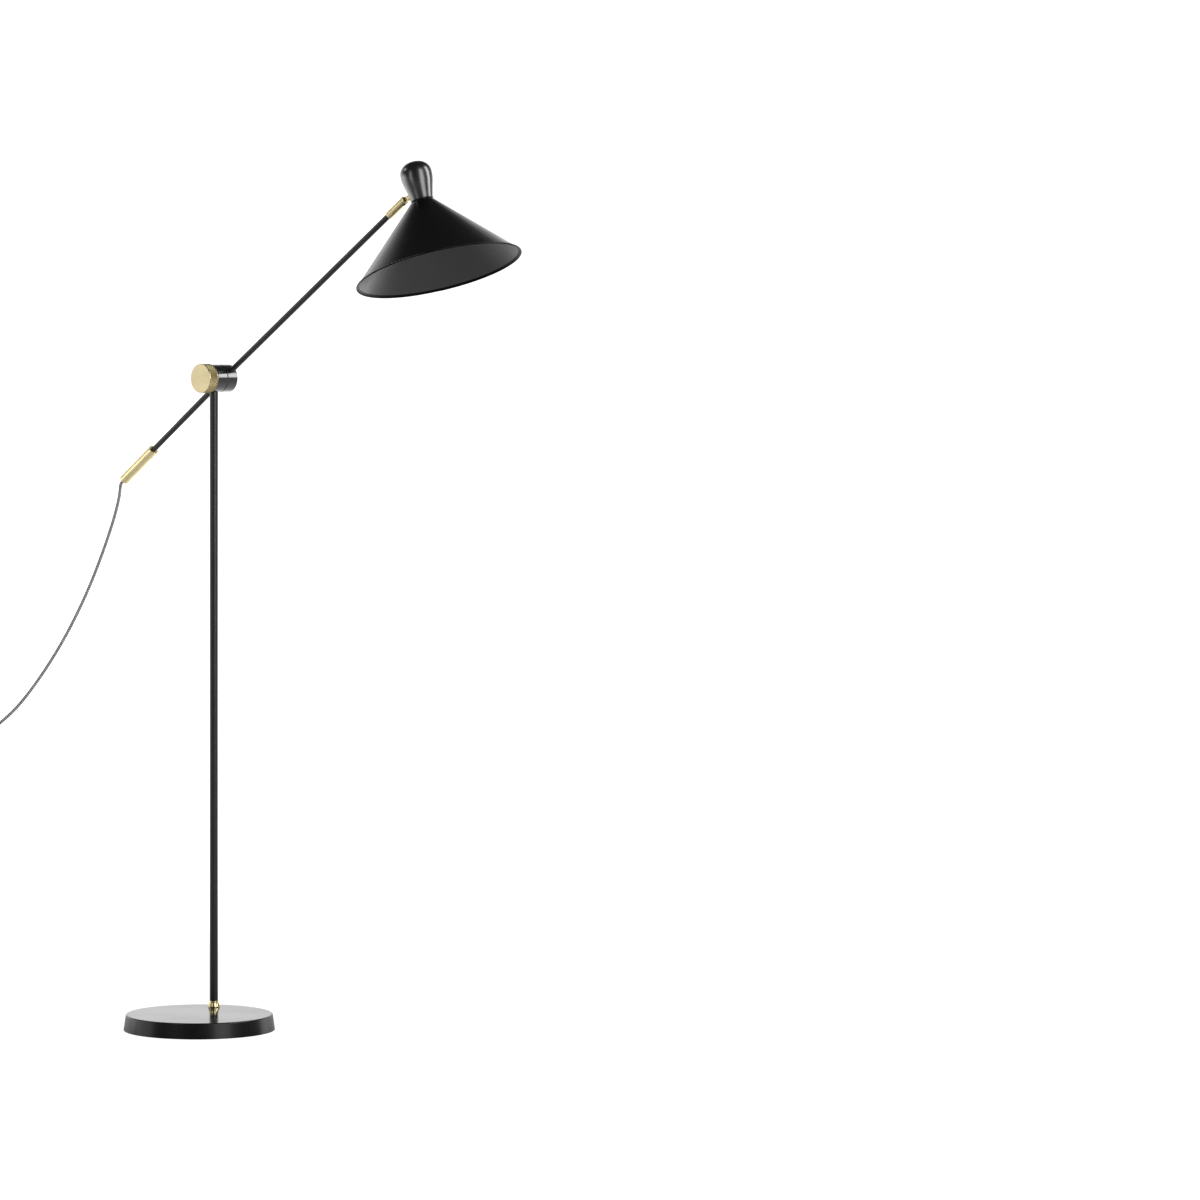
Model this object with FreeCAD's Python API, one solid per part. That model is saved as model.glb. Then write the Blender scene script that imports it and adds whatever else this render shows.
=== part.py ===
import FreeCAD, Part
import math
import os

# Adjustable arm floor lamp, in millimetres.
# Origin: centre of the base's underside. +Z is up. The arm rises towards +X, and the clamp
# knob faces -Y. The head leans out by HEAD_TILT from straight down.

# ---- driving dimensions -------------------------------------------------------------------
BASE_DIAMETER = 270.0
BASE_TOP_DIAMETER = 262.0
BASE_HEIGHT = 29.0
POLE_X = -51.0
POLE_Y = 82.0
POLE_DIAMETER = 15.0
POLE_SEAM_Z = 956.5
FERRULE_HEIGHT = 11.5
PIVOT_Z = 1162.5
DRUM_DIAMETER = 50.0
FRONT_DRUM_LENGTH = 22.0
REAR_HUB_LENGTH = 23.0
KNOB_DIAMETER = 52.0
KNOB_LENGTH = 20.0
ARM_DIAMETER = 10.0
UPPER_ELEVATION = 34.2
LOWER_ELEVATION = 35.2
UPPER_RING_AT = 511.5
UPPER_RING_LENGTH = 10.5
FORK_END_AT = 561.0
HINGE_AT = 557.0
SLEEVE_DIAMETER = 18.0
SLEEVE_START_AT = 229.0
SLEEVE_END_AT = 328.0
SWIVEL_DIAMETER = 13.7
HEAD_TILT = 18.8
STUB_REACH = 42.0
STUB_HEIGHT = 15.0
NECK_DIAMETER = 37.5
CAP_DIAMETER = 56.0
CAP_HEIGHT = 70.0
SHADE_DIAMETER = 293.0
SHADE_HEIGHT = 129.0
CORD_DIAMETER = 6.0

# ---- fits and walls -----------------------------------------------------------------------
POLE_WALL = 1.2
ARM_WALL = 1.0
COVER_WALL = 1.5
CAP_WALL = 2.0
SHADE_WALL = 1.0
RUNNING_FIT = 0.06
LOOSE_FIT = 0.3
THIN_GAP = 0.1
PAD_THICKNESS = 2.0
WEIGHT_THICKNESS = 14.0
STUD_RADIUS = 4.0
FOOT_STUD_RADIUS = 5.0
FOOT_NUT_Z = 3.6
FOOT_NUT_HEIGHT = 5.7
DISC_THICKNESS = 0.8
KNOB_WASHER_THICKNESS = 1.5
KNOB_TEETH = 96
KNOB_LIP = 1.6
KNURL_DEPTH = 0.55
ARM_SOCKET_FROM = 13.0
GRUB_RADIUS = 1.5
SLEEVE_GRUB_AT = SLEEVE_START_AT + 12
SLEEVE_PLUG = 23.0
GROMMET_SEAT = 6.0
GROMMET_NECK_RADIUS = 4.2
CABLE_RADIUS = 2.5
NIPPLE_HEAD = 2.2
TAB_THICKNESS = 4.8
TAB_RADIUS = 5.8
SLOT_WIDTH = 5.0
PIN_RADIUS = 2.0
FLANGE_RADIUS = 7.0
BRACKET_INSIDE = 16.5
BRACKET_THICKNESS = 1.0
BRACKET_HALF_WIDTH = 6.0
LOCK_NUT_THICKNESS = 2.4
HOLDER_RADIUS = 13.5
HOLDER_TOP = 42.0
HOLDER_NIPPLE_RADIUS = 5.0
COLLAR_HEIGHT = 2.2
SHADE_BEAD = 1.6
SHADE_NECK_BORE = 14.2
SHADE_RING_RADIUS = 17.6
BULB_GLOBE_RADIUS = 22.5
BULB_GLOBE_AT = -37.0
BULB_NECK_RADIUS = 6.6
BULB_GLASS = 0.8

# ---- the supply cord's route, chosen point by point ----------------------------------------
CORD_RADIUS = CORD_DIAMETER / 2
CORD_RUN_SHARE = 0.45
GROMMET_PROUD = 3.0
CORD_STRAIGHT = 6.0
DROP_POINTS = [
    (-329.5, 105.5, 962),
    (-329.3, 104.5, 952),
    (-327, 98, 931.5),
    (-333, 90, 894.5),
    (-344, 76, 841.5),
    (-358, 59, 783.5),
    (-374, 38, 725.5),
    (-392, 16, 671.5),
    (-411, -9, 621.5),
    (-431, -31, 579.5),
    (-449, -53, 546.5),
    (-472, -77, 518.5),
    (-494, -99, 480.5),
    (-509, -113, 431.5),
    (-519, -119, 373.5),
    (-522, -120, 311.5),
    (-522, -118, 247.5),
    (-518, -114, 184.5),
    (-514, -111, 131),
    (-509, -108, 88.9),
    (-504, -108, 58.3),
    (-497, -111, 35.3),
    (-485, -121, 16),
    (-468, -135.7, 7),
    (-447, -155, 7),
]
LEAD_POINTS = [
    (-381.49, -215.24, 7),
    (-370.5, -224.8, 5.4),
    (-361, -233, 4.3),
    (-354.4, -241, 3.9),
]
TAIL_POINTS = [
    (-388, -301.6, 10),
    (-400, -300.5, 12.2),
    (-412, -294.5, 15.6),
    (-419, -282, 17.6),
    (-418, -269, 19),
    (-410, -257.5, 20),
    (-398, -251, 20.4),
    (-384, -251, 20.4),
]
SWITCH_HEADING = -42.6
SWITCH_LENGTH = 58.0
SWITCH_WIDTH = 30.0
SWITCH_SPLIT_Z = 8.0
SWITCH_TOP_Z = 16.0
SWITCH_WALL = 1.8
SWITCH_BOSS = 8.0
SWITCH_CORD_Z = 7.0
BUTTON_RADIUS = 10.0
BUTTON_TOP_Z = 19.5
BUTTON_FLANGE = 2.4
COIL_CENTRE = (-388.0, -262.0)
COIL_LIFT = 0.8
COIL_INNER = 23.0
COIL_OUTER = 43.0
COIL_TOP_Z = 13.0
TIE_HALF_WIDTH = 4.0
TIE_ANGLE = -60.0
PLUG_RELIEF_LENGTH = 20.0
PLUG_BODY_LENGTH = 40.0
PLUG_HALF_WIDTH = 17.5
PLUG_THICKNESS = 13.6
PLUG_PIN_LENGTH = 19.0
PLUG_PIN_SPREAD = 9.5

Vector = FreeCAD.Vector
ORIGIN = Vector(0, 0, 0)
UP = Vector(0, 0, 1)
ALONG_X = Vector(1, 0, 0)
ALONG_Y = Vector(0, 1, 0)

POLE_RADIUS = POLE_DIAMETER / 2
POLE_BORE = POLE_RADIUS - POLE_WALL
POLE_AT = Vector(POLE_X, POLE_Y, 0)
POLE_TOP_Z = PIVOT_Z - POLE_RADIUS - 5
POLE_GRUB_Z = PIVOT_Z - 18.5
FOOT_BORE = FOOT_STUD_RADIUS + LOOSE_FIT
DRUM_RADIUS = DRUM_DIAMETER / 2
DRUM_FRONT_Y = POLE_Y - FRONT_DRUM_LENGTH / 2
DRUM_BACK_Y = POLE_Y + FRONT_DRUM_LENGTH / 2
HUB_FRONT_Y = DRUM_BACK_Y + DISC_THICKNESS + 2 * THIN_GAP
HUB_BACK_Y = HUB_FRONT_Y + REAR_HUB_LENGTH
ARM_Y = (HUB_FRONT_Y + HUB_BACK_Y) / 2
KNOB_BACK_Y = DRUM_FRONT_Y - KNOB_WASHER_THICKNESS - 2 * THIN_GAP
KNOB_FRONT_Y = KNOB_BACK_Y - KNOB_LENGTH
STUD_END_Y = HUB_FRONT_Y + 6.5
ARM_RADIUS = ARM_DIAMETER / 2
ARM_BORE = ARM_RADIUS - ARM_WALL
SWIVEL_RADIUS = SWIVEL_DIAMETER / 2
FORK_START_AT = UPPER_RING_AT + UPPER_RING_LENGTH + THIN_GAP
NIPPLE_END_AT = FORK_START_AT + 14.4
SLEEVE_RADIUS = SLEEVE_DIAMETER / 2
NECK_RADIUS = NECK_DIAMETER / 2
SHADE_RADIUS = SHADE_DIAMETER / 2

PIVOT = Vector(POLE_X, ARM_Y, PIVOT_Z)
UPPER_ARM = FreeCAD.Placement(PIVOT, FreeCAD.Rotation(ALONG_Y, -UPPER_ELEVATION))
LOWER_ARM = FreeCAD.Placement(PIVOT, FreeCAD.Rotation(ALONG_Y, 180 - LOWER_ELEVATION))
BETWEEN_ARMS = FreeCAD.Placement(
    PIVOT, FreeCAD.Rotation(ALONG_Y, -(UPPER_ELEVATION + LOWER_ELEVATION) / 2)
)
HINGE = UPPER_ARM.multVec(Vector(HINGE_AT, 0, 0))
HEAD_TURN = FreeCAD.Rotation(ALONG_Y, -HEAD_TILT)
NECK_CENTRE = HINGE + HEAD_TURN.multVec(Vector(STUB_REACH, 0, -STUB_HEIGHT))
HEAD = FreeCAD.Placement(NECK_CENTRE, HEAD_TURN)
SWITCH_TURN = FreeCAD.Rotation(UP, SWITCH_HEADING)
SWITCH_REACH = SWITCH_LENGTH / 2 + SWITCH_BOSS
SWITCH_ENTRY = Vector(*DROP_POINTS[-1])
SWITCH_CENTRE = SWITCH_ENTRY + SWITCH_TURN.multVec(Vector(SWITCH_REACH, 0, -SWITCH_CORD_Z))
SWITCH = FreeCAD.Placement(SWITCH_CENTRE, SWITCH_TURN)
SWITCH_EXIT = SWITCH.multVec(Vector(SWITCH_REACH, 0, SWITCH_CORD_Z))
# The plug's own frame: +X from the cord towards the pins, with its origin at the cord's end.
PLUG = FreeCAD.Placement(Vector(*TAIL_POINTS[-1]), FreeCAD.Rotation())


# ---- building blocks ----------------------------------------------------------------------
def cylinder(radius, length, start=ORIGIN, direction=UP):
    return Part.makeCylinder(radius, length, start, direction)


def tube(outer, inner, length, start=ORIGIN, direction=UP):
    """A round tube, from its two radii."""
    return cylinder(outer, length, start, direction).cut(cylinder(inner, length, start, direction))


def block(low, high):
    """A box between two corners."""
    size = [high[k] - low[k] for k in range(3)]
    return Part.makeBox(size[0], size[1], size[2], Vector(*low))


def hexagon(across_flats, height, start=ORIGIN, direction=UP):
    """A six-sided prism, such as a nut's outside."""
    circle_radius = across_flats / math.sqrt(3)
    corners = [
        Vector(circle_radius * math.cos(k * math.pi / 3), circle_radius * math.sin(k * math.pi / 3), 0)
        for k in range(6)
    ]
    prism = Part.Face(Part.makePolygon(corners + corners[:1])).extrude(UP * height)
    return prism.transformed(FreeCAD.Placement(start, FreeCAD.Rotation(UP, direction)).toMatrix())


def placed(shape, placement):
    """The shape moved from its own simple frame into the lamp's frame."""
    return shape.transformed(placement.toMatrix())


def bend(before, corner, after, radius):
    """The arc of this radius that rounds a corner: its start, middle and end."""
    backward = (before - corner).normalize()
    forward = (after - corner).normalize()
    half_turn = (math.pi - backward.getAngle(forward)) / 2
    setback = radius * math.tan(half_turn)
    to_centre = (backward + forward).normalize()
    middle = corner + to_centre * (radius / math.cos(half_turn) - radius)
    return [corner + backward * setback, middle, corner + forward * setback]


def joined(stretches, closed):
    """One wire through the stretches in turn: a single point, or an arc's three points."""
    edges = []
    for index, stretch in enumerate(stretches):
        if len(stretch) == 3:
            edges.append(Part.Arc(*stretch).toShape())
        if closed or index < len(stretches) - 1:
            following = stretches[(index + 1) % len(stretches)]
            edges.append(Part.LineSegment(stretch[-1], following[0]).toShape())
    return Part.Wire(edges)


def outline(corners):
    """A closed flat outline in the XZ plane. A corner is x, z and, if it is rounded, a radius."""
    points = [Vector(corner[0], 0, corner[1]) for corner in corners]
    stretches = []
    for index, corner in enumerate(corners):
        following = points[(index + 1) % len(points)]
        if len(corner) == 3:
            stretches.append(bend(points[index - 1], points[index], following, corner[2]))
        else:
            stretches.append([points[index]])
    return Part.Face(joined(stretches, closed=True))


def turned(corners, placement=FreeCAD.Placement()):
    """A solid of revolution about +Z, from an outline of radius and height."""
    return placed(outline(corners).revolve(ORIGIN, UP, 360), placement)


def facing(start, direction):
    """A placement that carries +Z to a direction."""
    return FreeCAD.Placement(start, FreeCAD.Rotation(UP, direction))


def arc_radii(points):
    """The largest radius that the two runs at each inner point allow."""
    radii = []
    for before, corner, after in zip(points, points[1:], points[2:]):
        half_turn = (corner - before).getAngle(after - corner) / 2
        shorter = min((corner - before).Length, (after - corner).Length)
        radii.append(CORD_RUN_SHARE * shorter / math.tan(half_turn))
    return radii


def centreline(points):
    """Straight runs through the points, joined by the largest tangent arcs."""
    stretches = [[points[0]]]
    for index, radius in enumerate(arc_radii(points)):
        stretches.append(bend(*points[index : index + 3], radius))
    stretches.append([points[-1]])
    return joined(stretches, closed=False)


def round_wire(points, radius):
    """A round solid along the points' centreline."""
    end = Part.Wire(Part.makeCircle(radius, points[0], points[1] - points[0]))
    return centreline(points).makePipeShell([end], True, False)


def cord_tube(points, name):
    """A length of the supply cord, with its measures printed."""
    solid = round_wire(points, CORD_RADIUS)
    length = centreline(points).Length
    expected = math.pi * CORD_RADIUS**2 * length
    print(name, "length %.0f mm," % length, "radii", [round(radius) for radius in arc_radii(points)])
    print(name, "volume / (section x length) = %.4f" % (solid.Volume / expected))
    return solid


# ---- base ---------------------------------------------------------------------------------
def felt_pad():
    return cylinder(BASE_TOP_DIAMETER / 2 - 11, PAD_THICKNESS)


def base_cover():
    """Spun steel cover with a slightly conical side and a soft top edge."""
    foot = BASE_DIAMETER / 2
    top = BASE_TOP_DIAMETER / 2
    shell = turned(
        [
            (foot - COVER_WALL, 1),
            (foot, 1),
            (top, BASE_HEIGHT, 2.2),
            (0, BASE_HEIGHT),
            (0, BASE_HEIGHT - COVER_WALL),
            (top - COVER_WALL, BASE_HEIGHT - COVER_WALL, 0.8),
        ]
    )
    return shell.cut(cylinder(FOOT_BORE, BASE_HEIGHT + 1, POLE_AT))


def base_weight():
    """Cast iron disc with a boss that carries the pole's foot and a recess for its nut."""
    on_pad = UP * PAD_THICKNESS
    boss_height = BASE_HEIGHT - COVER_WALL - PAD_THICKNESS
    disc = cylinder(BASE_TOP_DIAMETER / 2 - 3, WEIGHT_THICKNESS, on_pad)
    boss = cylinder(16, boss_height, POLE_AT + on_pad)
    recess = cylinder(13, 9, POLE_AT + on_pad)
    return disc.fuse(boss).cut(recess).cut(cylinder(FOOT_BORE, BASE_HEIGHT, POLE_AT))


def base_washer():
    above_nut = FOOT_NUT_Z + FOOT_NUT_HEIGHT + THIN_GAP
    return tube(10, FOOT_BORE, 1.6, POLE_AT + UP * above_nut)


def base_nut():
    at = POLE_AT + UP * FOOT_NUT_Z
    return hexagon(17, FOOT_NUT_HEIGHT, at).cut(cylinder(FOOT_STUD_RADIUS, FOOT_NUT_HEIGHT, at))


# ---- pole ---------------------------------------------------------------------------------
def pole_ferrule():
    """Brass foot ring, flared towards the base."""
    return turned(
        [
            (FOOT_BORE, 0),
            (10.9, 0, 0.3),
            (10.9, 1.6, 0.5),
            (8.6, 7.0, 3.0),
            (POLE_RADIUS + 0.5, FERRULE_HEIGHT, 0.4),
            (FOOT_BORE, FERRULE_HEIGHT),
        ],
        facing(POLE_AT + UP * BASE_HEIGHT, UP),
    )


def pole_foot():
    """Steel plug pressed into the pole, with a stud that goes down through the base."""
    shoulder = BASE_HEIGHT + FERRULE_HEIGHT
    return turned(
        [
            (0, 2.6),
            (FOOT_STUD_RADIUS, 2.6, 0.6),
            (FOOT_STUD_RADIUS, shoulder),
            (POLE_BORE, shoulder),
            (POLE_BORE, shoulder + 35, 1.0),
            (0, shoulder + 35),
        ],
        facing(POLE_AT, UP),
    )


def pole_tube(low, high):
    """A pole section with its outer ends eased, so that the seam shows as a fine line."""
    ease = 0.35
    return turned(
        [
            (POLE_BORE, low),
            (POLE_RADIUS, low, ease),
            (POLE_RADIUS, high, ease),
            (POLE_BORE, high),
        ],
        facing(POLE_AT, UP),
    )


def lower_pole():
    return pole_tube(BASE_HEIGHT + FERRULE_HEIGHT, POLE_SEAM_Z)


def upper_pole():
    return pole_tube(POLE_SEAM_Z, POLE_TOP_Z)


def pole_coupler():
    """Sleeve pressed into both pole sections at the seam."""
    length = 44
    return tube(POLE_BORE, 3.5, length, POLE_AT + UP * (POLE_SEAM_Z - length / 2))


# ---- clamp pivot --------------------------------------------------------------------------
def drum(length, edge):
    """A drum along +Z with eased edges."""
    return turned(
        [(0, 0), (DRUM_RADIUS, 0, edge), (DRUM_RADIUS, length, edge), (0, length)]
    )


def front_drum():
    """Fixed drum on top of the pole. The clamp stud runs through it."""
    body = placed(drum(FRONT_DRUM_LENGTH, 0.6), facing(Vector(POLE_X, DRUM_FRONT_Y, PIVOT_Z), ALONG_Y))
    stud_bore = cylinder(
        STUD_RADIUS + RUNNING_FIT, FRONT_DRUM_LENGTH, Vector(POLE_X, DRUM_FRONT_Y, PIVOT_Z), ALONG_Y
    )
    pole_socket = cylinder(POLE_RADIUS, DRUM_RADIUS, POLE_AT + UP * (POLE_TOP_Z - DRUM_RADIUS))
    screw_hole = cylinder(2, DRUM_RADIUS, Vector(POLE_X - DRUM_RADIUS, POLE_Y, POLE_GRUB_Z), ALONG_X)
    return body.cut(stud_bore).cut(pole_socket).cut(screw_hole)


def pole_grub_screw():
    """Grub screw that holds the front drum on the pole."""
    length = 8
    start = Vector(POLE_X - POLE_RADIUS - length, POLE_Y, POLE_GRUB_Z)
    key = hexagon(2, 2.5, start, ALONG_X)
    return cylinder(2, length, start, ALONG_X).cut(key)


def ring_plate(outer, inner, thickness, front_y):
    """A flat washer on the clamp axis."""
    return tube(outer, inner, thickness, Vector(POLE_X, front_y, PIVOT_Z), ALONG_Y)


def friction_disc():
    return ring_plate(DRUM_RADIUS - 1.5, STUD_RADIUS + LOOSE_FIT, DISC_THICKNESS, DRUM_BACK_Y + THIN_GAP)


def knob_washer():
    return ring_plate(
        DRUM_RADIUS - 4, STUD_RADIUS + LOOSE_FIT, KNOB_WASHER_THICKNESS, DRUM_FRONT_Y - KNOB_WASHER_THICKNESS
    )


def clamp_stud():
    """Threaded stud fixed in the rear hub. The knob runs on its front end."""
    start_y = KNOB_FRONT_Y + 4
    return turned(
        [
            (0, 0),
            (STUD_RADIUS, 0, 0.6),
            (STUD_RADIUS, STUD_END_Y - start_y),
            (0, STUD_END_Y - start_y),
        ],
        facing(Vector(POLE_X, start_y, PIVOT_Z), ALONG_Y),
    )


def clamp_knob():
    """Solid brass knob: smooth face, two smooth lips and a band of fine straight knurling."""
    radius = KNOB_DIAMETER / 2
    body = turned(
        [
            (0, 0),
            (radius, 0, 0.7),
            (radius, KNOB_LENGTH, 0.7),
            (0, KNOB_LENGTH),
        ]
    )
    corners = []
    for k in range(2 * KNOB_TEETH):
        reach = radius - 0.1 - KNURL_DEPTH * (k % 2)
        angle = k * math.pi / KNOB_TEETH
        corners.append(Vector(reach * math.cos(angle), reach * math.sin(angle), KNOB_LIP))
    band_length = KNOB_LENGTH - 2 * KNOB_LIP
    star = Part.Face(Part.makePolygon(corners + corners[:1])).extrude(UP * band_length)
    groove = cylinder(radius + 1, band_length, UP * KNOB_LIP).cut(star)
    bore = cylinder(STUD_RADIUS + RUNNING_FIT, KNOB_LENGTH - 3, ORIGIN)
    return placed(
        body.cut(groove).cut(bore), facing(Vector(POLE_X, KNOB_BACK_Y, PIVOT_Z), -ALONG_Y)
    )


# ---- arm ----------------------------------------------------------------------------------
def rear_hub():
    """Turning drum that carries both arm rods. A wire passage joins the two sockets."""
    hub = placed(drum(REAR_HUB_LENGTH, 0.8), facing(Vector(POLE_X, HUB_FRONT_Y, PIVOT_Z), ALONG_Y))
    hub = hub.cut(
        cylinder(STUD_RADIUS, STUD_END_Y - HUB_FRONT_Y, Vector(POLE_X, HUB_FRONT_Y, PIVOT_Z), ALONG_Y)
    )
    for side in (UPPER_ARM, LOWER_ARM):
        socket = cylinder(ARM_RADIUS, DRUM_RADIUS, Vector(ARM_SOCKET_FROM, 0, 0), ALONG_X)
        hub = hub.cut(placed(socket, side))
    reach = ARM_SOCKET_FROM + 1
    passage = cylinder(ARM_BORE - 0.6, 2 * reach, Vector(-reach, 0, 0), ALONG_X)
    return hub.cut(placed(passage, BETWEEN_ARMS))


def upper_arm():
    end = UPPER_RING_AT + UPPER_RING_LENGTH - 1
    rod = tube(ARM_RADIUS, ARM_BORE, end - ARM_SOCKET_FROM, Vector(ARM_SOCKET_FROM, 0, 0), ALONG_X)
    return placed(rod, UPPER_ARM)


def lower_arm():
    end = SLEEVE_END_AT - SLEEVE_PLUG
    rod = tube(ARM_RADIUS, ARM_BORE, end - ARM_SOCKET_FROM, Vector(ARM_SOCKET_FROM, 0, 0), ALONG_X)
    return placed(rod, LOWER_ARM)


def end_sleeve():
    """Brass counterweight sleeve on the low end of the arm, with a seat for the grommet."""
    low = SLEEVE_START_AT
    high = SLEEVE_END_AT
    sleeve = turned(
        [
            (ARM_RADIUS, low),
            (SLEEVE_RADIUS, low, 0.5),
            (SLEEVE_RADIUS, high, 0.6),
            (6, high),
            (6, high - GROMMET_SEAT),
            (GROMMET_NECK_RADIUS, high - GROMMET_SEAT),
            (GROMMET_NECK_RADIUS, high - SLEEVE_PLUG),
            (ARM_RADIUS, high - SLEEVE_PLUG),
        ],
        facing(ORIGIN, ALONG_X),
    )
    return placed(sleeve.cut(arm_grub_hole(SLEEVE_GRUB_AT, SLEEVE_RADIUS, UP)), LOWER_ARM)


def cord_grommet():
    """Tapered rubber strain relief that the cord comes out of."""
    high = SLEEVE_END_AT
    grommet = turned(
        [
            (0, high - 20),
            (GROMMET_NECK_RADIUS, high - 20),
            (GROMMET_NECK_RADIUS, high - GROMMET_SEAT),
            (6, high - GROMMET_SEAT),
            (6, high + 0.8, 0.5),
            (CORD_RADIUS + 0.7, high + GROMMET_PROUD, 0.3),
            (0, high + GROMMET_PROUD),
        ],
        facing(ORIGIN, ALONG_X),
    )
    return placed(grommet, LOWER_ARM)


def arm_grub_hole(at, depth, direction):
    """The threaded hole of a small grub screw, from the outside to the arm's surface."""
    start = Vector(at, 0, 0) + direction * ARM_RADIUS
    return cylinder(GRUB_RADIUS, depth, start, direction)


def arm_ring():
    """Brass ring that holds the swivel on the upper rod."""
    high = UPPER_RING_AT + UPPER_RING_LENGTH
    ring = turned(
        [
            (ARM_RADIUS, UPPER_RING_AT),
            (SWIVEL_RADIUS, UPPER_RING_AT, 0.4),
            (SWIVEL_RADIUS, high, 0.3),
            (ARM_RADIUS, high),
        ],
        facing(ORIGIN, ALONG_X),
    )
    middle = UPPER_RING_AT + UPPER_RING_LENGTH / 2
    return placed(ring.cut(arm_grub_hole(middle, SWIVEL_RADIUS, -ALONG_Y)), UPPER_ARM)


def arm_grub_screws():
    """Two equal grub screws: one in the upper ring and one in the end sleeve."""
    ring_middle = UPPER_RING_AT + UPPER_RING_LENGTH / 2
    ring_screw = cylinder(GRUB_RADIUS, 1.4, Vector(ring_middle, -ARM_RADIUS, 0), -ALONG_Y)
    sleeve_screw = cylinder(GRUB_RADIUS, 3.0, Vector(SLEEVE_GRUB_AT, 0, ARM_RADIUS), UP)
    return Part.makeCompound([placed(ring_screw, UPPER_ARM), placed(sleeve_screw, LOWER_ARM)])


def swivel_nipple():
    """Hollow nipple pressed into the upper rod. The fork turns on it, under its flange."""
    nipple = turned(
        [
            (CABLE_RADIUS, UPPER_RING_AT - 10),
            (ARM_BORE, UPPER_RING_AT - 10, 0.3),
            (ARM_BORE, NIPPLE_END_AT - NIPPLE_HEAD),
            (5.2, NIPPLE_END_AT - NIPPLE_HEAD),
            (5.2, NIPPLE_END_AT, 0.4),
            (CABLE_RADIUS, NIPPLE_END_AT),
        ],
        facing(ORIGIN, ALONG_X),
    )
    return placed(nipple, UPPER_ARM)


def arm_cable():
    """Two-core cable inside the arm, from the grommet to the swivel."""
    radius = CABLE_RADIUS - THIN_GAP
    upper = placed(cylinder(radius, NIPPLE_END_AT, ORIGIN, ALONG_X), UPPER_ARM)
    lower = placed(cylinder(radius, SLEEVE_END_AT - 20, ORIGIN, ALONG_X), LOWER_ARM)
    knee = Part.makeSphere(radius, PIVOT)
    return upper.fuse(knee).fuse(lower)


# ---- swivel -------------------------------------------------------------------------------
def swivel_fork():
    """Brass sleeve that turns about the arm, slotted for the head's flat tab."""
    body = turned(
        [
            (0, FORK_START_AT),
            (SWIVEL_RADIUS, FORK_START_AT, 0.3),
            (SWIVEL_RADIUS, FORK_END_AT, 0.6),
            (0, FORK_END_AT),
        ],
        facing(ORIGIN, ALONG_X),
    )
    neck = cylinder(ARM_BORE + RUNNING_FIT, 20, Vector(FORK_START_AT - 1, 0, 0), ALONG_X)
    chamber = cylinder(5.6, 6.5, Vector(NIPPLE_END_AT - NIPPLE_HEAD - LOOSE_FIT, 0, 0), ALONG_X)
    slot = block(
        (HINGE_AT - TAB_RADIUS - 0.7, -SLOT_WIDTH / 2, -SWIVEL_RADIUS),
        (FORK_END_AT + 1, SLOT_WIDTH / 2, SWIVEL_RADIUS),
    )
    pin_hole = cylinder(PIN_RADIUS, SWIVEL_DIAMETER, Vector(HINGE_AT, -SWIVEL_RADIUS, 0), ALONG_Y)
    return placed(body.cut(neck).cut(chamber).cut(slot).cut(pin_hole), UPPER_ARM)


def hinge_pin():
    length = SWIVEL_DIAMETER - 0.6
    pin = cylinder(PIN_RADIUS, length, Vector(HINGE_AT, -length / 2, 0), ALONG_Y)
    return placed(pin, UPPER_ARM)


# ---- head ---------------------------------------------------------------------------------
# The head's own frame: +Z up its axis from the neck's centre, and -X towards the hinge.
def cap_outside():
    """The pear shape of the cap's outer surface, as a solid down to the neck plane."""
    curve = Part.BSplineCurve()
    curve.interpolate(
        Points=[
            Vector(NECK_RADIUS, 0, 0),
            Vector(22.9, 0, 18.5),
            Vector(26.9, 0, 35),
            Vector(CAP_DIAMETER / 2, 0, 46),
            Vector(25.6, 0, 58.2),
            Vector(16.4, 0, 67.3),
            Vector(0, 0, CAP_HEIGHT),
        ],
        InitialTangent=Vector(0.208, 0, 0.978),
        FinalTangent=Vector(-1, 0, 0),
    )
    side = curve.toShape()
    axis = Part.LineSegment(Vector(0, 0, CAP_HEIGHT), ORIGIN).toShape()
    foot = Part.LineSegment(ORIGIN, Vector(NECK_RADIUS, 0, 0)).toShape()
    return Part.Face(Part.Wire([side, axis, foot])).revolve(ORIGIN, UP, 360)


def cap_inside():
    """The hollow of the cap, one wall in from its outside."""
    scale = FreeCAD.Matrix()
    narrower = 1 - 2 * CAP_WALL / CAP_DIAMETER
    scale.scale(narrower, narrower, (CAP_HEIGHT - CAP_WALL) / CAP_HEIGHT)
    return cap_outside().transformGeometry(scale)


def finial_cap():
    """Turned cap over the lamp holder, open below, with one hole for the knuckle's stud."""
    shell = cap_outside().cut(cap_inside())
    shell = shell.cut(cylinder(NECK_DIAMETER, COLLAR_HEIGHT + 5, Vector(0, 0, -5)))
    stud_hole = cylinder(STUD_RADIUS, NECK_DIAMETER, UP * STUB_HEIGHT, -ALONG_X)
    return placed(shell.cut(stud_hole), HEAD)


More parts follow.
